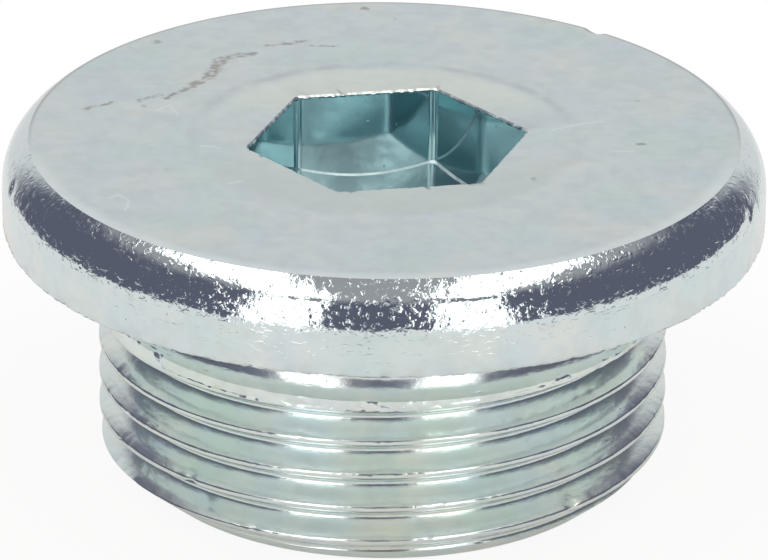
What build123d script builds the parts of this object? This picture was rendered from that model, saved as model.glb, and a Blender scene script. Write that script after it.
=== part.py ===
from build123d import *
import math
import os

# Screw plug with a hexagon socket and a wide collar, one piece of steel. Sizes are in millimetres.
# The origin is the centre of the end face, on which the plug stands, and +Z runs up the axis.

# Collar
collar_diameter = 32.0
collar_thickness = 3.9
shoulder_width = 1.12  # how far the rounded shoulder reaches in from the side
shoulder_height = 2.0  # how far it comes down the side
seat_edge_round = 0.15  # round at the foot of the side

# Shank
shank_length = 10.85  # from the seat under the collar to the end face
neck_length = 2.9
neck_step = 0.55  # how far the plain neck stands in from the thread's crest
neck_fillet = 0.2  # where the neck meets the seat
lead_reach = 1.85  # the lead on the end of the thread: how far it reaches in,
lead_height = 1.5  # and how far up

# Thread: M24 x 1.5, right hand
thread_diameter = 24.0
thread_pitch = 1.5
thread_flank = 30.0  # degrees between a flank and the plane across the axis
crest_width = 0.2
root_width = 0.19
start_slope = 0.2  # height of the slope that leads from the neck to the crest
first_crest = 3.22  # from the seat down to the first crest, on the -Y side

# Hexagon socket
socket_width = 10.25  # across the flats
socket_depth = 6.85  # from the top down to the floor at the middle of a wall
socket_floor_slope = 30.0  # degrees, the floor is a cone that goes down to the axis
socket_turn = 10.3  # degrees from +X to a corner
socket_corner_round = 0.35
socket_rim_chamfer = 0.15
dish_margin = 1.25  # how far the shallow dish round the socket reaches past the corners
dish_depth = 0.05

seat_z = shank_length
top_z = seat_z + collar_thickness
neck_foot_z = seat_z - neck_length
collar_r = collar_diameter / 2
thread_r = thread_diameter / 2
neck_r = thread_r - neck_step


def turned_blank():
    """The plug as it leaves the lathe: a half section turned round the axis."""
    shoulder_r = collar_r - shoulder_width
    side_top_z = top_z - shoulder_height
    # the shoulder is one arc that leaves the side upright
    arc_r = (shoulder_width**2 + shoulder_height**2) / (2 * shoulder_width)
    half_turn = math.asin(shoulder_height / arc_r) / 2
    arc_middle = (
        collar_r - arc_r + arc_r * math.cos(half_turn),
        side_top_z + arc_r * math.sin(half_turn),
    )
    dish_r = socket_width / math.sqrt(3) + dish_margin
    edge = seat_edge_round
    fillet_foot = (neck_r, seat_z - neck_fillet)
    fillet_head = (neck_r + neck_fillet, seat_z)
    with BuildSketch(Plane.XZ) as section:
        with BuildLine():
            Polyline(
                fillet_foot,
                (neck_r, neck_foot_z),
                (thread_r, neck_foot_z - start_slope),
                (thread_r, lead_height),
                (thread_r - lead_reach, 0),
                (0, 0),
                (0, top_z - dish_depth),
                (socket_width / 2, top_z - dish_depth),
                (dish_r, top_z),
                (shoulder_r, top_z),
            )
            ThreePointArc((shoulder_r, top_z), arc_middle, (collar_r, side_top_z))
            Line((collar_r, side_top_z), (collar_r, seat_z + edge))
            RadiusArc((collar_r, seat_z + edge), (collar_r - edge, seat_z), edge)
            Line((collar_r - edge, seat_z), fillet_head)
            RadiusArc(fillet_head, fillet_foot, -neck_fillet)
        make_face()
    return revolve(section.sketch, Axis.Z)


def thread_groove():
    """The groove between the crests, one turn after another, and its run-out at the neck."""
    slope = math.tan(math.radians(thread_flank))
    half_root = root_width / 2
    root_r = thread_r - (thread_pitch / 2 - crest_width / 2 - half_root) / slope
    cutter_r = thread_r + thread_pitch / 15  # the cut stands a little out past the crest
    half_mouth = half_root + (cutter_r - root_r) * slope
    section = make_face(
        Polyline(
            (root_r, 0, half_root),
            (cutter_r, 0, half_mouth),
            (cutter_r, 0, -half_mouth),
            (root_r, 0, -half_root),
            close=True,
        )
    )

    # the groove comes in through the end face and leaves level with the foot of the neck
    groove_under_crest = seat_z - first_crest - thread_pitch / 4  # on the +X side
    start_z = groove_under_crest % thread_pitch - 2 * thread_pitch
    end_z = neck_foot_z - half_root - (neck_r - root_r) * slope
    full_turns = math.floor((end_z - start_z) / thread_pitch)
    last_z = start_z + full_turns * thread_pitch
    last_helix = Helix(thread_pitch, end_z - last_z, root_r)
    one_turn = sweep(section, path=Helix(thread_pitch, thread_pitch, root_r), is_frenet=True)
    cuts = [Pos(0, 0, start_z + turn * thread_pitch) * one_turn for turn in range(full_turns)]
    cuts.append(Pos(0, 0, last_z) * sweep(section, path=last_helix, is_frenet=True))

    # past its end the cutter leaves the plug straight along the tangent
    end_section = Pos(0, 0, end_z) * Rot(0, 0, 360 * (end_z - last_z) / thread_pitch) * section
    cuts.append(extrude(end_section, math.sqrt(cutter_r**2 - root_r**2), dir=last_helix % 1))
    return cuts


def hexagon_socket():
    """The key's socket with its conical floor, and the broken edge round its rim."""
    floor_slope = math.tan(math.radians(socket_floor_slope))
    tip_z = top_z - socket_depth - socket_width / 2 * floor_slope
    past_top_z = top_z + socket_width / 2
    hexagon = RegularPolygon(socket_width / 2, 6, major_radius=False, rotation=socket_turn)
    hexagon = fillet(hexagon.vertices(), socket_corner_round)
    walls = extrude(Pos(0, 0, tip_z) * hexagon, past_top_z - tip_z)
    with BuildSketch(Plane.XZ) as cone_section:
        with BuildLine():
            Polyline(
                (0, tip_z),
                (socket_width, tip_z + socket_width * floor_slope),
                (socket_width, past_top_z),
                (0, past_top_z),
                close=True,
            )
        make_face()
    well = walls & revolve(cone_section.sketch, Axis.Z)
    rim_z = top_z - dish_depth - socket_rim_chamfer
    rim_height = 2 * (dish_depth + socket_rim_chamfer)
    rim = extrude(Pos(0, 0, rim_z) * hexagon, rim_height, taper=-45)
    return well, rim


plug = turned_blank()
for cut in (*hexagon_socket(), *thread_groove()):
    plug -= cut

os.makedirs("parts", exist_ok=True)
export_step(plug, "parts/screw_plug.step")
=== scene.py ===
import math

import bmesh
import bpy
from mathutils import Matrix, Vector, noise


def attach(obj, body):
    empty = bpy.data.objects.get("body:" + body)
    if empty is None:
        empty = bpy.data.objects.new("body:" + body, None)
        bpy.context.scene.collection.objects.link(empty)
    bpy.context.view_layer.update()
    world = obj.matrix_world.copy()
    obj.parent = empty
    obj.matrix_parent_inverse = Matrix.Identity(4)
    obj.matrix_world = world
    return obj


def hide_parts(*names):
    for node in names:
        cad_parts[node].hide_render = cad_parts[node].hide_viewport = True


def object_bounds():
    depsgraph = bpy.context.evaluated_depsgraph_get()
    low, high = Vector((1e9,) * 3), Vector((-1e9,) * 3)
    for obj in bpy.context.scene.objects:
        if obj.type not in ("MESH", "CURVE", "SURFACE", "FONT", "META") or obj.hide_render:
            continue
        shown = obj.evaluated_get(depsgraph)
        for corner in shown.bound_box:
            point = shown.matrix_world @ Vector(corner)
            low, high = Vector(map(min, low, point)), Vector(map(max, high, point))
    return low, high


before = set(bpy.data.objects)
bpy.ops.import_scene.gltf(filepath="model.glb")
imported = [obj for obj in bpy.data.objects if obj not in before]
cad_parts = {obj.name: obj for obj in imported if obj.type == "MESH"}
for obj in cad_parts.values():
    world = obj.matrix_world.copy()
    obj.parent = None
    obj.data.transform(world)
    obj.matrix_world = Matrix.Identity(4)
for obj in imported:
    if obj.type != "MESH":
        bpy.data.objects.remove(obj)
cadLow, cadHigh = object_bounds()
mm = 0.001
weld = 0.0005   # millimetres, points nearer than this are one
print("frame loaded")


# Shapes are drawn in millimetres, +Z up from the end face, and scaled to metres once at the end.

def drawLine(bm, points):
    # a run of edges through the points, in the XZ half plane
    verts = [bm.verts.new((r, 0, z)) for r, z in points]
    for a, b in zip(verts, verts[1:]):
        bm.edges.new((a, b))
    return verts


def roundCorner(bm, vert, reach, steps):
    # rounds one corner of a drawn line; reach is how far the round runs along each side
    bmesh.ops.bevel(
        bm, geom=[vert], offset=reach, offset_type="OFFSET", segments=steps,
        profile=0.5, affect="VERTICES", material=-1,
    )


def splitEdges(bm, wanted, pieces):
    # cuts the edges that wanted(start, end) picks into equal pieces
    edges = [e for e in bm.edges if wanted(e.verts[0].co, e.verts[1].co)]
    bmesh.ops.subdivide_edges(bm, edges=edges, cuts=pieces - 1)


def distanceFromAxis(co):
    return math.hypot(co.x, co.y)


turning = {
    "segments": 528,   # steps in a full turn
    "sectors": 16,     # the first sector is spun, the others are its copies
    "sharpAngle": 28,  # degrees, from where on an edge is shaded sharp
}


def turnRound(bm, rise=0.0):
    # turns the drawn line once round the axis while it climbs by rise
    sectors = turning["sectors"]
    angle = math.tau / sectors
    steps = turning["segments"] // sectors
    bmesh.ops.spin(
        bm, geom=bm.verts[:] + bm.edges[:], cent=(0, 0, 0), axis=(0, 0, 1),
        dvec=(0, 0, rise / turning["segments"]), angle=angle, steps=steps, use_merge=False,
    )
    sector = bm.verts[:] + bm.edges[:] + bm.faces[:]
    for k in range(1, sectors):
        copied = bmesh.ops.duplicate(bm, geom=sector)["geom"]
        verts = [g for g in copied if isinstance(g, bmesh.types.BMVert)]
        bmesh.ops.rotate(bm, verts=verts, cent=(0, 0, 0), matrix=Matrix.Rotation(angle * k, 3, "Z"))
        bmesh.ops.translate(bm, verts=verts, vec=(0, 0, rise * k / sectors))
    bmesh.ops.remove_doubles(bm, verts=bm.verts, dist=weld)


def openEdges(bm, height):
    # the open edges that lie at one height
    return [
        e for e in bm.edges
        if e.is_boundary and all(abs(v.co.z - height) < weld for v in e.verts)
    ]


def addRing(bm, radius, height):
    ring = bmesh.ops.create_circle(
        bm, cap_ends=False, radius=radius, segments=turning["segments"],
        matrix=Matrix.Translation((0, 0, height)),
    )
    return ring["verts"]


def fillToRing(bm, radius, height):
    # closes the flat gap between the open edge at this height and a round ring
    rim = openEdges(bm, height)
    verts = addRing(bm, radius, height)
    ringEdges = list({e for v in verts for e in v.link_edges})
    bmesh.ops.triangle_fill(bm, use_beauty=True, use_dissolve=False, edges=rim + ringEdges)
    return verts


def addMesh(bm, other):
    mesh = bpy.data.meshes.new("part")
    other.to_mesh(mesh)
    other.free()
    bm.from_mesh(mesh)
    bpy.data.meshes.remove(mesh)


collar = {
    "radius": cadHigh.x / mm,
    "top": cadHigh.z / mm,
    "seat": 10.85,            # height of the underside
    "shoulderWidth": 1.12,
    "shoulderHeight": 2.0,
    "shoulderSteps": 18,
    "flatEdge": 0.4,          # a ring of the flat top this far inside the shoulder
    "flatSteps": 3,
    "sideSteps": 4,
    "roundSteps": 5,
    "edgeRound": 0.16,
    "neckRadius": 11.45,
    "neckTop": 8.98,          # the straight part starts here
    "neckHollow": 1.1,        # radius of the hollow between it and the thread
    "neckFillet": 0.2,
    "dishMargin": 1.25,       # the dish past the socket's corners
    "dishDepth": 0.12,
}


def makeCollar(bm):
    c = collar
    sideTop = c["top"] - c["shoulderHeight"]
    arcRadius = (c["shoulderWidth"] ** 2 + c["shoulderHeight"] ** 2) / (2 * c["shoulderWidth"])
    arcAngle = math.asin(c["shoulderHeight"] / arcRadius)
    body = bmesh.new()
    line = drawLine(body, [
        (c["neckRadius"], c["neckTop"]),
        (c["neckRadius"], c["seat"]),
        (c["radius"], c["seat"]),
        (c["radius"], sideTop),
    ])
    sideEnd = line[3]
    arcCentre = (c["radius"] - arcRadius, 0, sideTop)
    arc = bmesh.ops.spin(
        body, geom=[sideEnd], cent=arcCentre, axis=(0, -1, 0), angle=arcAngle, steps=c["shoulderSteps"],
    )
    shoulderEnd = [g for g in arc["geom_last"] if isinstance(g, bmesh.types.BMVert)][0]
    shoulderEnd.co = (c["radius"] - c["shoulderWidth"], 0, c["top"])
    dishRadius = socket["width"] / math.sqrt(3) + c["dishMargin"]
    dishEdge = body.verts.new((dishRadius, 0, c["top"]))
    flatEdge = body.verts.new((c["radius"] - c["shoulderWidth"] - c["flatEdge"], 0, c["top"]))
    body.edges.new((shoulderEnd, flatEdge))
    body.edges.new((flatEdge, dishEdge))
    roundCorner(body, line[1], c["neckFillet"], c["roundSteps"])
    roundCorner(body, line[2], c["edgeRound"], c["roundSteps"])
    # the long flat and the long upright stretches
    splitEdges(body, lambda a, b: abs(a.x - b.x) > 2, c["flatSteps"])
    splitEdges(body, lambda a, b: abs(a.z - b.z) > 1, c["sideSteps"])
    turnRound(body)
    addMesh(bm, body)
    return dishRadius


socket = {
    "width": 10.3,        # across the flats
    "depth": 6.85,        # to the floor at the middle of a wall
    "floorSlope": 30.0,   # degrees, a drill point's cone
    "turn": 10.3,         # degrees from +X to a corner
    "offset": (0.12, -0.2),
    "cornerRound": 0.22,  # along each side
    "cornerSteps": 5,
    "rimBreak": 0.07,
    "rimRing": 0.05,      # two rings this far apart keep the rim's wear at the rim
    "floorRound": 0.07,
    "floorRoundSteps": 4,
    "spareWall": 0.3,     # the wall is drawn this much too deep and cut at the floor
    "wallSteps": 7,
    "floorSteps": 10,
    "dishSteps": 3,
    "witnessDepth": 3.85,  # the line where the punch stopped
    "witnessHeight": 0.05,
    "witnessStep": 0.045,
    "witnessShift": (-0.04, -0.03),
}


def makeSocket(bm, dishRadius):
    s = socket
    well = bmesh.new()
    rimFoot = collar["top"] - collar["dishDepth"] - s["rimBreak"]
    half = s["width"] / 2
    place = Matrix.Translation((0, 0, rimFoot)) @ Matrix.Rotation(math.radians(s["turn"] - 90), 4, "Z")
    bmesh.ops.create_circle(well, cap_ends=False, radius=s["width"] / math.sqrt(3), segments=6, matrix=place)
    corners = well.verts[:]
    bmesh.ops.bevel(
        well, geom=corners, offset=s["cornerRound"], offset_type="OFFSET", segments=s["cornerSteps"],
        profile=0.5, affect="VERTICES", material=-1,
    )
    perSide = turning["segments"] // 6 - s["cornerSteps"]
    splitEdges(well, lambda a, b: (a - b).length > s["width"] / 4, perSide)
    loop = well.edges[:]

    def grow(edges, factor, drop):
        # extrudes a loop, scales the new one about the axis and moves it down
        made = bmesh.ops.extrude_edge_only(well, edges=edges)["geom"]
        verts = [g for g in made if isinstance(g, bmesh.types.BMVert)]
        bmesh.ops.scale(well, verts=verts, vec=(factor, factor, 1))
        bmesh.ops.translate(well, verts=verts, vec=(0, 0, -drop))
        return [g for g in made if isinstance(g, bmesh.types.BMEdge) and g.is_boundary]

    def cut(height, clear=False):
        bmesh.ops.bisect_plane(
            well, geom=well.verts[:] + well.edges[:] + well.faces[:], dist=1e-6,
            plane_co=(0, 0, height), plane_no=(0, 0, 1), clear_inner=clear,
        )

    # with the cone's slope taken out of every height, the floor and the witness line are flat cuts
    slope = math.tan(math.radians(s["floorSlope"]))
    floor = collar["top"] - s["depth"] - slope * half
    wallFoot = floor + s["floorRound"]
    ring = grow(grow(loop, 1, s["rimRing"]), 1, s["rimRing"])
    for k in range(s["wallSteps"]):
        ring = grow(ring, 1, (s["depth"] + s["spareWall"]) / s["wallSteps"])
    for v in well.verts:
        v.co.z -= slope * distanceFromAxis(v.co)
    cut(wallFoot, True)
    witness = collar["top"] - s["witnessDepth"] - slope * half
    cut(witness)
    cut(witness - s["witnessHeight"])
    lower = [v for v in well.verts if v.co.z < witness - s["witnessHeight"] + weld]
    narrower = 1 - s["witnessStep"] / half
    bmesh.ops.scale(well, verts=lower, vec=(narrower, narrower, 1))
    bmesh.ops.translate(well, verts=lower, vec=(*s["witnessShift"], 0))
    ring = openEdges(well, wallFoot)
    rounds = s["floorRoundSteps"]
    for k in range(rounds):
        before, after = (math.radians(90 * i / rounds) for i in (k, k + 1))
        inner = half - s["floorRound"] * (1 - math.cos(before))
        nextInner = half - s["floorRound"] * (1 - math.cos(after))
        drop = s["floorRound"] * (math.sin(after) - math.sin(before))
        ring = grow(ring, nextInner / inner, drop)
    steps = s["floorSteps"]
    for k in range(steps):
        ring = grow(ring, (steps - k - 1) / (steps - k), 0)
    for v in well.verts:
        v.co.z += slope * distanceFromAxis(v.co)
    rim = grow(loop, 1 + s["rimBreak"] / half, -s["rimBreak"])
    bmesh.ops.translate(well, verts=well.verts, vec=(*s["offset"], 0))
    dish = addRing(well, dishRadius, collar["top"])
    dishEdges = list({e for v in dish for e in v.link_edges})
    bmesh.ops.bridge_loops(well, edges=rim + dishEdges)
    # the dish is the only part with long sloping edges
    splitEdges(well, lambda a, b: distanceFromAxis(a - b) > 0.6 and abs(a.z - b.z) > 0.05, s["dishSteps"])
    bmesh.ops.remove_doubles(well, verts=well.verts, dist=weld)
    print("socket open edges", sum(not e.is_manifold for e in well.edges) - turning["segments"])
    addMesh(bm, well)


thread = {
    "radius": 12.0,
    "pitch": 1.5,
    "flank": 30.0,        # degrees from the plane across the axis
    "crest": 0.2,
    "root": 0.19,
    "crestRound": 0.05,
    "rootRound": 0.06,
    "firstCrest": 7.63,   # height of the first crest on the -Y side
    "crests": 5,
    "ledge": 7.75,        # where the thread stops under the neck
    "endRadius": 10.15,   # the flat end face
    "leadHeight": 1.5,
    "endRound": 0.12,
    "flankSteps": 2,
    "hollowSteps": 9,
    "runOutEnd": 92.4,    # degrees past +X, plus the angle of the run-out itself
    "hollowRise": 0.06,   # the hollow ends this far under the straight neck
    "hollowGap": 0.02,    # and this far outside it
    "neckGap": 0.01,      # the groove's run-out stays this far outside the neck
}


def threadDepth():
    t = thread
    return (t["pitch"] - t["crest"] - t["root"]) / 2 / math.tan(math.radians(t["flank"]))


def drawPitch(bm, base):
    # one pitch of the thread from root to root, with its crest at this height
    t = thread
    halfPitch, halfCrest, halfRoot = t["pitch"] / 2, t["crest"] / 2, t["root"] / 2
    depth = threadDepth()
    root = t["radius"] - depth
    line = drawLine(bm, [
        (root, base - halfPitch),
        (root, base - halfPitch + halfRoot),
        (t["radius"], base - halfCrest),
        (t["radius"], base + halfCrest),
        (root, base + halfPitch - halfRoot),
        (root, base + halfPitch),
    ])
    for vert in (line[2], line[3]):
        roundCorner(bm, vert, t["crestRound"], 3)
    for vert in (line[1], line[4]):
        roundCorner(bm, vert, t["rootRound"], 2)
    splitEdges(bm, lambda a, b: abs(a.x - b.x) > depth / 2, t["flankSteps"])


def makeThread(bm):
    t = thread
    pitch = t["pitch"]
    winding = bmesh.new()
    segments = turning["segments"]
    runOut = math.acos((t["radius"] - threadDepth()) / t["radius"])
    # the top groove has run out a third of a turn past +X, and the winding starts and ends there
    seamSteps = round((math.radians(t["runOutEnd"]) + runOut) / math.tau * segments)
    seam = math.tau * seamSteps / segments
    firstAtSeam = t["firstCrest"] + pitch * (seam + math.pi / 2) / math.tau - pitch
    drawPitch(winding, firstAtSeam)
    pattern = winding.verts[:] + winding.edges[:]
    copies = t["crests"] + 1
    for k in range(-1, copies):
        if k == 0:
            continue
        copied = bmesh.ops.duplicate(winding, geom=pattern)["geom"]
        verts = [g for g in copied if isinstance(g, bmesh.types.BMVert)]
        bmesh.ops.translate(winding, verts=verts, vec=(0, 0, -pitch * k))
        if k == -1:
            for v in verts:
                v.co.x = t["radius"]
    bmesh.ops.remove_doubles(winding, verts=winding.verts, dist=weld)
    # the bar is still round above the middle of the first crest
    for v in winding.verts:
        if v.co.z > firstAtSeam:
            v.co.x = t["radius"]
    bmesh.ops.rotate(winding, verts=winding.verts, cent=(0, 0, 0), matrix=Matrix.Rotation(seam, 3, "Z"))
    turnRound(winding, pitch)

    # the groove leaves the bar along its tangent, and keeps out of the neck above it
    for v in winding.verts:
        radius = distanceFromAxis(v.co)
        back = (seam - math.atan2(v.co.y, v.co.x) + 1e-5) % math.tau - 1e-5
        rise = v.co.z + pitch * back / math.tau
        wanted = radius
        if back < runOut and rise > firstAtSeam + 0.001:
            wanted = min(t["radius"], radius / math.cos(runOut - back))
        fromLedge = abs(t["ledge"] - v.co.z) / math.tan(math.radians(t["flank"]))
        wanted = max(wanted, collar["neckRadius"] + t["neckGap"] - fromLedge)
        v.co.x *= wanted / radius
        v.co.y *= wanted / radius

    def cut(height, keepAbove=None):
        bmesh.ops.bisect_plane(
            winding, geom=winding.verts[:] + winding.edges[:] + winding.faces[:], dist=1e-6,
            plane_co=(0, 0, height), plane_no=(0, 0, 1),
            clear_inner=keepAbove is True, clear_outer=keepAbove is False,
        )

    # the hollow that runs from the first crest up into the neck
    hollow, hollowTop = collar["neckHollow"], collar["neckTop"] - t["hollowRise"]
    hollowFoot = collar["neckRadius"] + t["hollowGap"]
    last = math.acos(1 - (t["radius"] - collar["neckRadius"] - t["hollowGap"]) / hollow)
    cut(hollowTop, False)
    for k in range(1, t["hollowSteps"] + 1):
        cut(hollowTop - hollow * math.sin(last * k / t["hollowSteps"]))
    for v in winding.verts:
        radius = distanceFromAxis(v.co)
        across = min(1, (hollowTop - v.co.z) / hollow)
        if across < math.sin(last) + 1e-4:
            allowed = hollowFoot + hollow * (1 - math.sqrt(1 - across ** 2))
            v.co.x *= min(1, allowed / radius)
            v.co.y *= min(1, allowed / radius)
    neck = fillToRing(winding, collar["neckRadius"], hollowTop)
    bmesh.ops.translate(winding, verts=neck, vec=(0, 0, collar["neckTop"] - hollowTop))

    # the lead: with its slope taken out of every height, it is a flat cut
    slope = t["leadHeight"] / (t["radius"] - t["endRadius"])
    for v in winding.verts:
        v.co.z -= slope * (distanceFromAxis(v.co) - t["endRadius"])
    cut(0, True)
    fillToRing(winding, t["endRadius"] + 2 * t["endRound"], 0)
    for v in winding.verts:
        v.co.z += slope * (distanceFromAxis(v.co) - t["endRadius"])
    addMesh(bm, winding)

    face = bmesh.new()
    line = drawLine(face, [
        (0, 0),
        (t["endRadius"], 0),
        (t["endRadius"] + 2 * t["endRound"], 2 * t["endRound"] * slope),
    ])
    roundCorner(face, line[1], t["endRound"], 4)
    splitEdges(face, lambda a, b: abs(a.x - b.x) > 5, 3)
    turnRound(face)
    addMesh(bm, face)


finishes = ["satinTop", "polishedShoulder", "turnedSide", "cutThread", "socketWall", "socketFloor"]


def finishOf(face):
    # which finish a face has, from where it lies
    centre = face.calc_center_median()
    radius, height, up = distanceFromAxis(centre), centre.z, face.normal.z
    flatRadius = collar["radius"] - collar["shoulderWidth"]
    if height > collar["top"] - collar["shoulderHeight"] and radius > flatRadius:
        return "polishedShoulder"
    if height > collar["top"] - 0.3 and up > 0.3:
        return "satinTop"
    if radius < collar["neckRadius"] - 2 and height > 1:
        return "socketFloor" if up > 0.3 else "socketWall"
    if radius > collar["radius"] - 0.3 and height > collar["seat"]:
        return "turnedSide"
    return "cutThread"


wear = {
    "crest": 0.07,        # how far the thread's crests are broken
    "crestHeights": (1.4, 7.99),
    "underside": 0.3,     # share of it on the side of a crest that looks down
    "ledge": 0.06,        # the burr where the thread starts under the neck
    "ledgeHeights": (7.55, 8.1),
    "lowerEdge": 0.09,    # the collar's lower edge
    "rim": 0.03,          # the socket's rim
    "shoulder": 0.006,    # ripples on the rounded shoulder
    # how fine the unevenness is, in waves per millimetre or so
    "coarseWaves": 3.1,
    "fineWaves": 7.3,
    "patchWaves": 0.7,
    "rippleWaves": (1.1, 2.7),
    # dents: place, reach and depth
    "dents": [
        ((4.5, -10.7, 1.5), 0.4, 0.2),
        ((7.9, -8.9, 1.9), 0.5, 0.1),
        ((-7.8, -8.9, 2.8), 0.45, 0.16),
        ((-11.2, -4.2, 3.6), 0.35, 0.12),
        ((-10.9, -4.9, 2.7), 0.3, 0.12),
        ((-8.6, -13.5, 12.4), 0.35, 0.04),
        ((-1.5, -15.9, 12.5), 0.3, 0.03),
        ((9.1, 11.8, 14.7), 0.6, 0.14),
        ((-15.3, -3.6, 13.6), 0.5, 0.08),
        ((-14.9, -5.6, 13.9), 0.4, 0.07),
        ((15.2, -5.1, 13.4), 0.6, 0.07),
        ((14.9, -6.0, 13.0), 0.5, 0.06),
    ],
}


def wearDown(bm):
    # always inwards, so the plug never grows past its size
    bm.normal_update()
    rimHeight = collar["top"] - collar["dishDepth"] - socket["rimBreak"]
    sideFoot = collar["seat"] + 1.5 * collar["edgeRound"]
    shoulderFoot = collar["top"] - collar["shoulderHeight"]
    crestFoot, crestTop = wear["crestHeights"]
    ledgeFoot, ledgeTop = wear["ledgeHeights"]
    slowWaves, quickWaves = wear["rippleWaves"]
    for v in bm.verts:
        radius, height = distanceFromAxis(v.co), v.co.z
        if radius < 1:
            continue
        inward = Vector((-v.co.x, -v.co.y, 0)) / radius
        coarse = abs(noise.noise(v.co * wear["coarseWaves"]))
        ragged = coarse + 0.6 * abs(noise.noise(v.co * wear["fineWaves"]))
        patchy = max(0, noise.noise(v.co * wear["patchWaves"]) + 0.35)
        if abs(radius - thread["radius"]) < 0.1 and crestFoot < height < crestTop:
            share = 1.0 if v.normal.z > 0.15 else wear["underside"]
            v.co += inward * wear["crest"] * share * ragged * patchy
        if thread["radius"] - 0.3 < radius < thread["radius"] + 0.1 and ledgeFoot < height < ledgeTop:
            v.co += inward * wear["ledge"] * ragged
        if radius > collar["radius"] - 2 * collar["edgeRound"] and height < sideFoot:
            v.co += inward * wear["lowerEdge"] * ragged
            v.co.z += 0.7 * wear["lowerEdge"] * ragged
        if radius < 7 and rimHeight - 0.01 < height < rimHeight + socket["rimBreak"] + 0.01:
            v.co -= inward * wear["rim"] * 1.5 * (ragged - 0.3)
            v.co.z -= wear["rim"] * ragged
        if height > shoulderFoot and radius > collar["radius"] - collar["shoulderWidth"] + 0.01:
            ripple = 1 + noise.noise(v.co * slowWaves) + 0.6 * noise.noise(v.co * quickWaves)
            v.co -= v.normal * wear["shoulder"] * ripple
        for centre, reach, depth in wear["dents"]:
            away = (v.co - Vector(centre)).length / reach
            if away < 1:
                v.co -= v.normal * depth * (1 - away ** 2) ** 2


def makePlug():
    bm = bmesh.new()
    dishRadius = makeCollar(bm)
    makeSocket(bm, dishRadius)
    print("collar and socket shaped")
    makeThread(bm)
    print("thread wound")
    bmesh.ops.remove_doubles(bm, verts=bm.verts, dist=weld)
    bmesh.ops.recalc_face_normals(bm, faces=bm.faces)
    print("open edges", sum(not e.is_manifold for e in bm.edges), "faces", len(bm.faces))
    for face in bm.faces:
        face.material_index = finishes.index(finishOf(face))
        face.smooth = True
    wearDown(bm)
    print("edges worn")
    bmesh.ops.scale(bm, verts=bm.verts, vec=(mm, mm, mm))
    mesh = bpy.data.meshes.new("screwPlug")
    bm.to_mesh(mesh)
    bm.free()
    mesh.set_sharp_from_angle(angle=math.radians(turning["sharpAngle"]))
    plug = bpy.data.objects.new("screwPlug", mesh)
    bpy.context.scene.collection.objects.link(plug)
    return plug


def addNode(tree, kind, **settings):
    node = tree.nodes.new("ShaderNode" + kind)
    for name, value in settings.items():
        setattr(node, name, value)
    return node


def feed(tree, target, value):
    # an input takes another node's output, or a plain value
    if isinstance(value, bpy.types.NodeSocket):
        tree.links.new(value, target)
    else:
        target.default_value = value


def sums(tree, operation, *values):
    node = addNode(tree, "Math", operation=operation)
    for target, value in zip(node.inputs, values):
        feed(tree, target, value)
    return node.outputs[0]


def vectorSums(tree, operation, *values):
    node = addNode(tree, "VectorMath", operation=operation)
    for target, value in zip(node.inputs, values):
        feed(tree, target, value)
    return node.outputs["Value"] if operation in ("LENGTH", "DOT_PRODUCT") else node.outputs["Vector"]


def fade(tree, value, low, high, toMin=0.0, toMax=1.0):
    node = addNode(tree, "MapRange", interpolation_type="SMOOTHSTEP")
    for name, number in (("From Min", low), ("From Max", high), ("To Min", toMin), ("To Max", toMax)):
        feed(tree, node.inputs[name], number)
    feed(tree, node.inputs["Value"], value)
    return node.outputs["Result"]


def blend(tree, factor, under, over):
    node = addNode(tree, "Mix", data_type="RGBA")
    feed(tree, node.inputs["Factor"], factor)
    feed(tree, node.inputs["A"], under)
    feed(tree, node.inputs["B"], over)
    return node.outputs["Result"]


def startGroup(name, inputs, outputs):
    group = bpy.data.node_groups.new(name, "ShaderNodeTree")
    for label, kind, value in inputs:
        group.interface.new_socket(label, in_out="INPUT", socket_type=kind).default_value = value
    for label in outputs:
        group.interface.new_socket(label, in_out="OUTPUT", socket_type="NodeSocketFloat")
    return group, group.nodes.new("NodeGroupInput").outputs, group.nodes.new("NodeGroupOutput").inputs


def cloudGroup():
    # soft patches: Size is their width in millimetres, Low and High set how hard they are
    group, given, result = startGroup("clouds", [
        ("Size", "NodeSocketFloat", 4.0), ("Stretch", "NodeSocketVector", (1, 1, 1)),
        ("Low", "NodeSocketFloat", 0.3), ("High", "NodeSocketFloat", 0.7),
    ], ["Mask"])
    place = addNode(group, "TexCoord").outputs["Object"]
    noiseNode = addNode(group, "TexNoise")
    feed(group, noiseNode.inputs["Vector"], vectorSums(group, "MULTIPLY", place, given["Stretch"]))
    feed(group, noiseNode.inputs["Scale"], sums(group, "DIVIDE", 1000.0, given["Size"]))
    noiseNode.inputs["Detail"].default_value = 4
    feed(group, result["Mask"], fade(group, noiseNode.outputs["Fac"], given["Low"], given["High"]))
    return group


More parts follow.
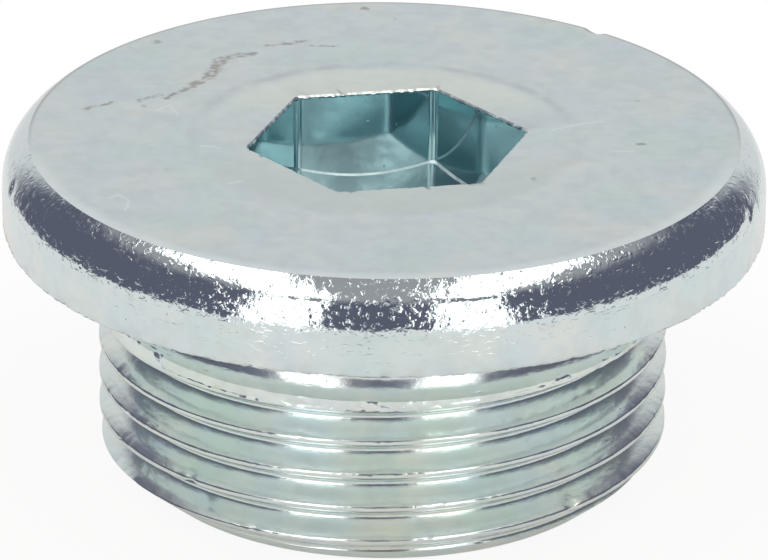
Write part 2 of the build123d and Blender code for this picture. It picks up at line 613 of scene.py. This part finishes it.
def markGroup():
    # a scuff or scratch along a straight line between two places on the top, in millimetres
    group, given, result = startGroup("mark", [
        ("Start", "NodeSocketVector", (0, 0, 0)), ("End", "NodeSocketVector", (1, 0, 0)),
        ("Width", "NodeSocketFloat", 0.3), ("Ragged", "NodeSocketFloat", 0.2),
    ], ["Mask"])
    place = addNode(group, "TexCoord").outputs["Object"]
    uneven = addNode(group, "TexNoise")
    feed(group, uneven.inputs["Vector"], place)
    uneven.inputs["Scale"].default_value = 2200
    uneven.inputs["Detail"].default_value = 3
    shift = vectorSums(group, "SUBTRACT", uneven.outputs["Color"], (0.5, 0.5, 0.5))
    reach = sums(group, "MULTIPLY", given["Ragged"], 4.0)
    onTop = vectorSums(group, "MULTIPLY", place, (1000, 1000, 0))
    moved = vectorSums(group, "MULTIPLY_ADD", shift, reach, onTop)
    flat = vectorSums(group, "MULTIPLY", moved, (1, 1, 0))
    along = vectorSums(group, "SUBTRACT", given["End"], given["Start"])
    fromStart = vectorSums(group, "SUBTRACT", flat, given["Start"])
    share = sums(
        group, "DIVIDE", vectorSums(group, "DOT_PRODUCT", fromStart, along),
        vectorSums(group, "DOT_PRODUCT", along, along),
    )
    clamped = addNode(group, "Clamp")
    feed(group, clamped.inputs["Value"], share)
    nearest = vectorSums(group, "MULTIPLY", along, clamped.outputs[0])
    away = vectorSums(group, "LENGTH", vectorSums(group, "SUBTRACT", fromStart, nearest))
    core = sums(group, "MULTIPLY", given["Width"], 0.3)
    feed(group, result["Mask"], fade(group, away, given["Width"], core))
    return group


def dingGroup():
    # scattered small pits: Size is the spacing in millimetres, Share how many of the places have one
    group, given, result = startGroup("dings", [
        ("Size", "NodeSocketFloat", 0.4), ("Share", "NodeSocketFloat", 0.3),
        ("Width", "NodeSocketFloat", 0.4),
    ], ["Height", "Mask"])
    place = addNode(group, "TexCoord").outputs["Object"]
    cells = addNode(group, "TexVoronoi")
    feed(group, cells.inputs["Vector"], place)
    feed(group, cells.inputs["Scale"], sums(group, "DIVIDE", 1000.0, given["Size"]))
    chance = addNode(group, "SeparateColor")
    feed(group, chance.inputs["Color"], cells.outputs["Color"])
    present = sums(group, "LESS_THAN", chance.outputs["Red"], given["Share"])
    width = sums(group, "MULTIPLY", given["Width"], fade(group, chance.outputs["Green"], 0.0, 1.0, 0.4, 1.0))
    pit = fade(group, cells.outputs["Distance"], width, 0.0)
    mask = sums(group, "MULTIPLY", pit, present)
    feed(group, result["Mask"], mask)
    feed(group, result["Height"], sums(group, "MULTIPLY", mask, -1.0))
    return group


def useGroup(tree, group, **values):
    node = addNode(tree, "Group", node_tree=group)
    for name, value in values.items():
        feed(tree, node.inputs[name], value)
    return node.outputs


plating = {
    "colour": (0.70, 0.80, 0.81, 1),
    "greenish": (0.65, 0.79, 0.76, 1),
    "warm": (0.77, 0.82, 0.79, 1),
    "bluish": (0.65, 0.77, 0.83, 1),
    "dull": (0.60, 0.69, 0.70, 1),
    "worn": (0.42, 0.40, 0.39, 1),
    "scuff": (0.26, 0.23, 0.2, 1),
    "scratched": (0.95, 1.0, 1.0, 1),
    # the pressed ring round the socket, with painted sheen and painted shade, and the rim of the top, with a
    # painted highlight
    "ringPaintedSheen": (0.79, 0.87, 0.82, 1),
    "ringPaintedShade": (0.52, 0.58, 0.6, 1),
    "ringFrontPaintedShade": (0.62, 0.72, 0.69, 1),
    "rimPaintedHighlight": (0.85, 0.94, 0.95, 1),
    "ringCentre": (0.0, -0.4, 0),
    # where each starts to show and where it shows in full, in millimetres from its centre
    "ringInside": (8.0, 7.2),
    "lineInner": (7.7, 8.0),
    "lineOuter": (8.5, 8.1),
    "ringFrontInside": (8.4, 7.6),
    "rimFrom": (14.1, 14.8),
    "backLineFrom": (14.68, 14.86),
    "satinRoughness": 0.34,
    "shoulderRoughness": 0.07,
    "sideRoughness": 0.15,
    "threadRoughness": 0.2,
    "threadPaintedSheen": (1.12, 1.09, 1.06),   # painted light: the thread's zinc is made a little paler and warmer than the rest
    # inside the socket the zinc is darker than outside, the floor most: painted shade of the recess
    "wallPaintedShade": (0.61, 0.75, 0.77, 1),
    "wallRoughness": 0.05,
    "floorPaintedShade": (0.56, 0.71, 0.73, 1),
    "floorRoughness": 0.4,
    # marks on the top: start, end, width
    "scuffs": [
        ((-12.6, 2.4), (-11.5, 3.2), 0.2), ((-10.4, 3.4), (-9.5, 4.1), 0.22),
        ((-9.3, 3.7), (-8.4, 4.8), 0.16), ((-8.4, 4.8), (-7.5, 6.1), 0.3),
        ((-7.5, 6.1), (-7.0, 8.2), 0.42), ((-7.0, 8.2), (-5.7, 8.8), 0.35),
        ((-5.1, 9.7), (-3.4, 10.3), 0.2), ((-3.2, 9.7), (-2.1, 9.8), 0.12),
        ((10.6, -0.8), (10.7, -0.8), 0.22), ((-9.9, 10.0), (-9.8, 10.1), 0.25),
        ((-0.9, 14.1), (-0.8, 14.1), 0.25),
    ],
    "scratches": [
        ((7.0, 0.6), (8.3, 1.4), 0.12), ((8.3, 1.4), (9.1, 1.6), 0.12),
        ((9.3, -1.7), (10.4, -1.5), 0.1), ((-7.6, -1.4), (-6.8, -1.6), 0.12),
        ((-6.4, -5.4), (-5.9, -5.1), 0.12), ((-9.6, 2.4), (-9.1, 3.0), 0.1),
        ((-9.1, 3.0), (-8.7, 2.0), 0.1), ((-11.3, -7.0), (-10.9, -6.6), 0.1),
        ((-10.9, -6.6), (-10.4, -7.2), 0.1), ((-10.4, -7.2), (-10.6, -8.2), 0.1),
    ],
}


def startMaterial(name, colour, roughness):
    material = bpy.data.materials.new(name)
    material.use_nodes = True
    tree = material.node_tree
    shader = tree.nodes["Principled BSDF"]
    shader.inputs["Base Color"].default_value = colour
    shader.inputs["Metallic"].default_value = 1
    shader.inputs["Roughness"].default_value = roughness
    return material, tree, shader


def bump(tree, shader, height, distance, under=None):
    node = addNode(tree, "Bump")
    node.inputs["Strength"].default_value = 1
    node.inputs["Distance"].default_value = distance * mm
    feed(tree, node.inputs["Height"], height)
    if under:
        feed(tree, node.inputs["Normal"], under)
    feed(tree, shader.inputs["Normal"], node.outputs["Normal"])
    return node.outputs["Normal"]


def cloudy(tree, clouds, colour):
    # faint patches of other tints in the zinc
    patches = [("greenish", 5.0, 0.8), ("warm", 3.4, 0.7), ("bluish", 2.2, 0.6), ("dull", 0.9, 0.35)]
    for tint, size, share in patches:
        mask = useGroup(tree, clouds, Size=size, Low=0.42, High=0.66)["Mask"]
        colour = blend(tree, sums(tree, "MULTIPLY", mask, share), colour, plating[tint])
    return colour


def makeSatinTop():
    material, tree, shader = startMaterial("satinTop", plating["colour"], plating["satinRoughness"])
    colour = cloudy(tree, clouds, plating["colour"])
    place = vectorSums(tree, "MULTIPLY", addNode(tree, "TexCoord").outputs["Object"], (1000, 1000, 0))
    fromAxis = vectorSums(tree, "LENGTH", vectorSums(tree, "SUBTRACT", place, plating["ringCentre"]))
    axes = addNode(tree, "SeparateXYZ")
    feed(tree, axes.inputs[0], place)
    behind = fade(tree, axes.outputs["Y"], 1.0, 5.0)
    # the pressed ring round the socket is a real dish, its tones are painted light: a painted sheen inside
    # it at the back, a painted shade line along it
    inside = sums(tree, "MULTIPLY", fade(tree, fromAxis, *plating["ringInside"]), behind)
    colour = blend(tree, inside, colour, plating["ringPaintedSheen"])
    line = sums(
        tree, "MULTIPLY",
        fade(tree, fromAxis, *plating["lineInner"]), fade(tree, fromAxis, *plating["lineOuter"]),
    )
    broken = useGroup(tree, clouds, Size=1.6, Low=0.35, High=0.6)["Mask"]
    fainterInFront = sums(tree, "MULTIPLY_ADD", behind, 0.75, 0.25)
    line = sums(tree, "MULTIPLY", sums(tree, "MULTIPLY", line, broken), fainterInFront)
    colour = blend(tree, sums(tree, "MULTIPLY", line, 0.5), colour, plating["ringPaintedShade"])
    # and a painted shade inside it in front
    inFront = fade(tree, axes.outputs["Y"], -1.0, -5.0)
    front = sums(tree, "MULTIPLY", fade(tree, fromAxis, *plating["ringFrontInside"]), inFront)
    colour = blend(tree, sums(tree, "MULTIPLY", front, 0.7), colour, plating["ringFrontPaintedShade"])
    # and a painted highlight, a paler band along the rim in front
    fromCentre = vectorSums(tree, "LENGTH", place)
    frontHalf = fade(tree, axes.outputs["Y"], 0.0, -6.0)
    rim = sums(tree, "MULTIPLY", fade(tree, fromCentre, *plating["rimFrom"]), frontHalf)
    colour = blend(tree, sums(tree, "MULTIPLY", rim, 0.7), colour, plating["rimPaintedHighlight"])
    # and a thin darker brownish line along the rim at the back
    backHalf = fade(tree, axes.outputs["Y"], -3.0, 3.0)
    worn = sums(tree, "MULTIPLY", fade(tree, fromCentre, *plating["backLineFrom"]), backHalf)
    colour = blend(tree, sums(tree, "MULTIPLY", worn, 0.6), colour, plating["worn"])
    scuffed, scratched = 0.0, 0.0
    for start, end, width in plating["scuffs"]:
        mask = useGroup(tree, marks, Start=(*start, 0), End=(*end, 0), Width=width, Ragged=0.14)["Mask"]
        scuffed = sums(tree, "MAXIMUM", scuffed, mask)
    for start, end, width in plating["scratches"]:
        mask = useGroup(tree, marks, Start=(*start, 0), End=(*end, 0), Width=width, Ragged=0.06)["Mask"]
        scratched = sums(tree, "MAXIMUM", scratched, mask)
    streaks = useGroup(tree, clouds, Size=0.35, Low=0.38, High=0.6)["Mask"]
    scuffed = sums(tree, "MULTIPLY", scuffed, sums(tree, "MULTIPLY_ADD", streaks, 0.5, 0.15))
    scratched = sums(tree, "MULTIPLY", scratched, 0.35)
    colour = blend(tree, scratched, colour, plating["scratched"])
    colour = blend(tree, scuffed, colour, plating["scuff"])
    feed(tree, shader.inputs["Base Color"], colour)
    grain = useGroup(tree, clouds, Size=0.5, Low=0.2, High=0.8)["Mask"]
    roughness = sums(tree, "MULTIPLY_ADD", grain, 0.1, plating["satinRoughness"] - 0.05)
    feed(tree, shader.inputs["Roughness"], roughness)
    pits = useGroup(tree, dings, Size=1.5, Share=0.3, Width=0.12)
    normal = bump(tree, shader, grain, 0.008)
    bump(tree, shader, pits["Height"], 0.06, normal)
    return material


def makePolishedShoulder():
    roughness = plating["shoulderRoughness"]
    material, tree, shader = startMaterial("polishedShoulder", plating["colour"], roughness)
    ripples = useGroup(tree, clouds, Size=0.9, Low=0.2, High=0.8)["Mask"]
    coarse = useGroup(tree, clouds, Size=0.55, Stretch=(1, 1, 1.8), Low=0.56, High=0.74)["Mask"]
    fine = useGroup(tree, clouds, Size=0.24, Low=0.54, High=0.72)["Mask"]
    pits = useGroup(tree, dings, Size=0.5, Share=0.5, Width=0.3)
    normal = bump(tree, shader, ripples, 0.010)
    normal = bump(tree, shader, coarse, 0.013, normal)
    normal = bump(tree, shader, fine, 0.007, normal)
    bump(tree, shader, pits["Height"], 0.014, normal)
    return material


def makeTurnedSide():
    material, tree, shader = startMaterial("turnedSide", plating["colour"], plating["sideRoughness"])
    feed(tree, shader.inputs["Base Color"], cloudy(tree, clouds, plating["colour"]))
    pits = useGroup(tree, dings, Size=0.8, Share=0.35, Width=0.13)
    ripples = useGroup(tree, clouds, Size=1.3, Low=0.2, High=0.8)["Mask"]
    rubbed = useGroup(tree, clouds, Size=0.5, Stretch=(1, 1, 2.5), Low=0.5, High=0.75)["Mask"]
    normal = bump(tree, shader, ripples, 0.012)
    normal = bump(tree, shader, rubbed, 0.006, normal)
    bump(tree, shader, pits["Height"], 0.03, normal)
    return material


def makeCutThread():
    material, tree, shader = startMaterial("cutThread", plating["colour"], plating["threadRoughness"])
    tint = cloudy(tree, clouds, plating["colour"])
    # the same zinc, lifted paler and warmer on the thread as painted reflected light
    feed(tree, shader.inputs["Base Color"], vectorSums(tree, "MULTIPLY", tint, plating["threadPaintedSheen"]))
    specks = useGroup(tree, dings, Size=0.45, Share=0.12, Width=0.2)
    tears = useGroup(tree, clouds, Size=0.8, Stretch=(1, 1, 3), Low=0.2, High=0.8)["Mask"]
    normal = bump(tree, shader, tears, 0.008)
    bump(tree, shader, specks["Height"], 0.01, normal)
    return material


def makeSocketWall():
    # the wall's colour is the darker zinc, painted shade of the recess
    material, tree, shader = startMaterial("socketWall", plating["wallPaintedShade"], plating["wallRoughness"])
    specks = useGroup(tree, dings, Size=0.42, Share=0.3, Width=0.2)
    drawn = useGroup(tree, clouds, Size=1.2, Stretch=(1, 1, 0.4), Low=0.2, High=0.8)["Mask"]
    normal = bump(tree, shader, drawn, 0.0015)
    bump(tree, shader, specks["Height"], 0.007, normal)
    return material


def makeSocketFloor():
    # the floor's colour is the darkest zinc, painted shade of the recess
    material, tree, shader = startMaterial("socketFloor", plating["floorPaintedShade"], plating["floorRoughness"])
    uneven = useGroup(tree, clouds, Size=0.8, Low=0.2, High=0.8)["Mask"]
    bump(tree, shader, uneven, 0.03)
    return material


plug = makePlug()
clouds = cloudGroup()
marks = markGroup()
dings = dingGroup()
# in the order of finishes
makers = [
    makeSatinTop, makePolishedShoulder, makeTurnedSide, makeCutThread, makeSocketWall, makeSocketFloor,
]
for make in makers:
    plug.data.materials.append(make())
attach(plug, "root")
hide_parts("screw_plug")
print("plating finished")


studio = {
    "tableRadius": 0.07,
    "tableColour": (0.92, 0.87, 0.82, 1),
    "tableDrop": 0.02,   # millimetres under the end face
    # how much plain white is in the table: from and to this far from the plug, and the two shares
    "whiteToCamera": (0.014, 0.036, 0.91, 1.0),
    "whiteToMetal": (0.014, 0.04, 0.2, 0.6),
    "target": (0.03, 0.0, 8.084),   # millimetres
    "distance": 300.0,
    "elevation": 24.0,
    "roll": 0.521,
    "lens": 333.45,
    "frontWall": (0.13, 0.13, 0.18, 1),   # the dark side of the room, behind the camera
    "backWall": (0.78, 0.76, 0.76, 1),
    "ceiling": (0.4, 0.38, 0.4, 1),
    # degrees over which one gives way to the next
    "backWallEdge": (132, 150),
    "ceilingEdge": (36, 48),
    "horizonEdge": (-15, -19),
    "lampColour": (1.0, 0.95, 0.9),
    "lampRadiance": 2.1,
    # upright softboxes: azimuth, width and lowest and highest elevation in degrees, distance in metres
    "leftSoftbox": (-29, 23, -18, 40, 0.6),
    "rightSoftbox": (26, 22, -18, 38, 0.6),
    # strips overhead: x, y of the middle, width, length, height in metres
    "leftStrip": (-0.3, -0.2, 0.28, 0.68, 0.6),
    "rightStrip": (0.26, -0.21, 0.25, 0.62, 0.6),
}


def placeCamera():
    s = studio
    target = Vector(s["target"]) * mm
    lift = math.radians(s["elevation"])
    away = Vector((0, -math.cos(lift), math.sin(lift))) * s["distance"] * mm
    data = bpy.data.cameras.new("camera")
    data.lens = s["lens"]
    data.sensor_width = 36
    data.clip_start = 0.01
    camera = bpy.data.objects.new("camera", data)
    bpy.context.scene.collection.objects.link(camera)
    facing = (-away).to_track_quat("-Z", "Y").to_matrix().to_4x4()
    roll = Matrix.Rotation(math.radians(s["roll"]), 4, "Z")
    camera.matrix_world = Matrix.Translation(target + away) @ facing @ roll
    bpy.context.scene.camera = camera


def makeTable():
    bm = bmesh.new()
    bmesh.ops.create_circle(bm, cap_ends=True, radius=studio["tableRadius"], segments=128)
    bmesh.ops.translate(bm, verts=bm.verts, vec=(0, 0, -studio["tableDrop"] * mm))
    mesh = bpy.data.meshes.new("table")
    bm.to_mesh(mesh)
    bm.free()
    table = bpy.data.objects.new("table", mesh)
    bpy.context.scene.collection.objects.link(table)
    paper = bpy.data.materials.new("whiteTable")
    paper.use_nodes = True
    tree = paper.node_tree
    base = tree.nodes["Principled BSDF"]
    base.inputs["Base Color"].default_value = studio["tableColour"]
    base.inputs["Roughness"].default_value = 0.9
    base.inputs["Specular IOR Level"].default_value = 0
    rays = addNode(tree, "LightPath").outputs
    fromPlug = vectorSums(tree, "LENGTH", addNode(tree, "TexCoord").outputs["Object"])
    # near the plug its shadow shows, and to the camera the far edge is as white as the backdrop
    whiteToCamera = fade(tree, fromPlug, *studio["whiteToCamera"])
    cameraShare = sums(tree, "MULTIPLY", rays["Is Camera Ray"], whiteToCamera)
    mirrored = sums(tree, "MAXIMUM", rays["Is Glossy Ray"], rays["Is Transmission Ray"])
    metalShare = sums(tree, "MULTIPLY", mirrored, fade(tree, fromPlug, *studio["whiteToMetal"]))
    white = addNode(tree, "Emission")
    mix = addNode(tree, "MixShader")
    feed(tree, mix.inputs["Fac"], sums(tree, "MAXIMUM", cameraShare, metalShare))
    feed(tree, mix.inputs[1], base.outputs[0])
    feed(tree, mix.inputs[2], white.outputs[0])
    # seen from below it is clear, so that the end face can be looked at
    oneSided = addNode(tree, "MixShader")
    feed(tree, oneSided.inputs["Fac"], addNode(tree, "NewGeometry").outputs["Backfacing"])
    feed(tree, oneSided.inputs[1], mix.outputs[0])
    feed(tree, oneSided.inputs[2], addNode(tree, "BsdfTransparent").outputs[0])
    feed(tree, tree.nodes["Material Output"].inputs["Surface"], oneSided.outputs[0])
    mesh.materials.append(paper)


def makeWorld():
    world = bpy.data.worlds.new("studio")
    bpy.context.scene.world = world
    world.use_nodes = True
    tree = world.node_tree
    axes = addNode(tree, "SeparateXYZ")
    feed(tree, axes.inputs[0], addNode(tree, "TexCoord").outputs["Generated"])
    heading = sums(tree, "ARCTAN2", axes.outputs["X"], sums(tree, "MULTIPLY", axes.outputs["Y"], -1.0))
    around = sums(tree, "DEGREES", sums(tree, "ABSOLUTE", heading))
    elevation = sums(tree, "DEGREES", sums(tree, "ARCSINE", axes.outputs["Z"]))
    behind = fade(tree, around, *studio["backWallEdge"])
    room = blend(tree, behind, studio["frontWall"], studio["backWall"])
    room = blend(tree, fade(tree, elevation, *studio["ceilingEdge"]), room, studio["ceiling"])
    # the backdrop is white to the camera everywhere, and to metal and glass below the horizon
    rays = addNode(tree, "LightPath").outputs
    mirrored = sums(tree, "MAXIMUM", rays["Is Glossy Ray"], rays["Is Transmission Ray"])
    backdrop = sums(tree, "MULTIPLY", mirrored, fade(tree, elevation, *studio["horizonEdge"]))
    background = tree.nodes["Background"]
    white = sums(tree, "MAXIMUM", rays["Is Camera Ray"], backdrop)
    feed(tree, background.inputs["Color"], blend(tree, white, room, (1, 1, 1, 1)))
    background.inputs["Strength"].default_value = 1


def addLamp(name, matrix, width, height):
    data = bpy.data.lights.new(name, "AREA")
    data.shape = "RECTANGLE"
    data.size = width
    data.size_y = height
    data.energy = studio["lampRadiance"] * math.pi * width * height
    data.color = studio["lampColour"]
    lamp = bpy.data.objects.new(name, data)
    bpy.context.scene.collection.objects.link(lamp)
    lamp.matrix_world = matrix
    lamp.visible_camera = False


def makeLamps():
    for name in ("leftSoftbox", "rightSoftbox"):
        azimuth, width, low, high, distance = studio[name]
        bottom, top = (distance * math.tan(math.radians(a)) for a in (low, high))
        matrix = (
            Matrix.Rotation(math.radians(azimuth), 4, "Z")
            @ Matrix.Translation((0, -distance, (bottom + top) / 2))
            @ Matrix.Rotation(math.radians(90), 4, "X")
        )
        addLamp(name, matrix, 2 * distance * math.tan(math.radians(width / 2)), top - bottom)
    for name in ("leftStrip", "rightStrip"):
        x, y, width, length, height = studio[name]
        addLamp(name, Matrix.Translation((x, y, height)), width, length)


placeCamera()
makeTable()
makeWorld()
makeLamps()
scene = bpy.context.scene
scene.cycles.glossy_bounces = 16
scene.cycles.max_bounces = 24
scene.view_settings.view_transform = "Standard"
print("studio ready")
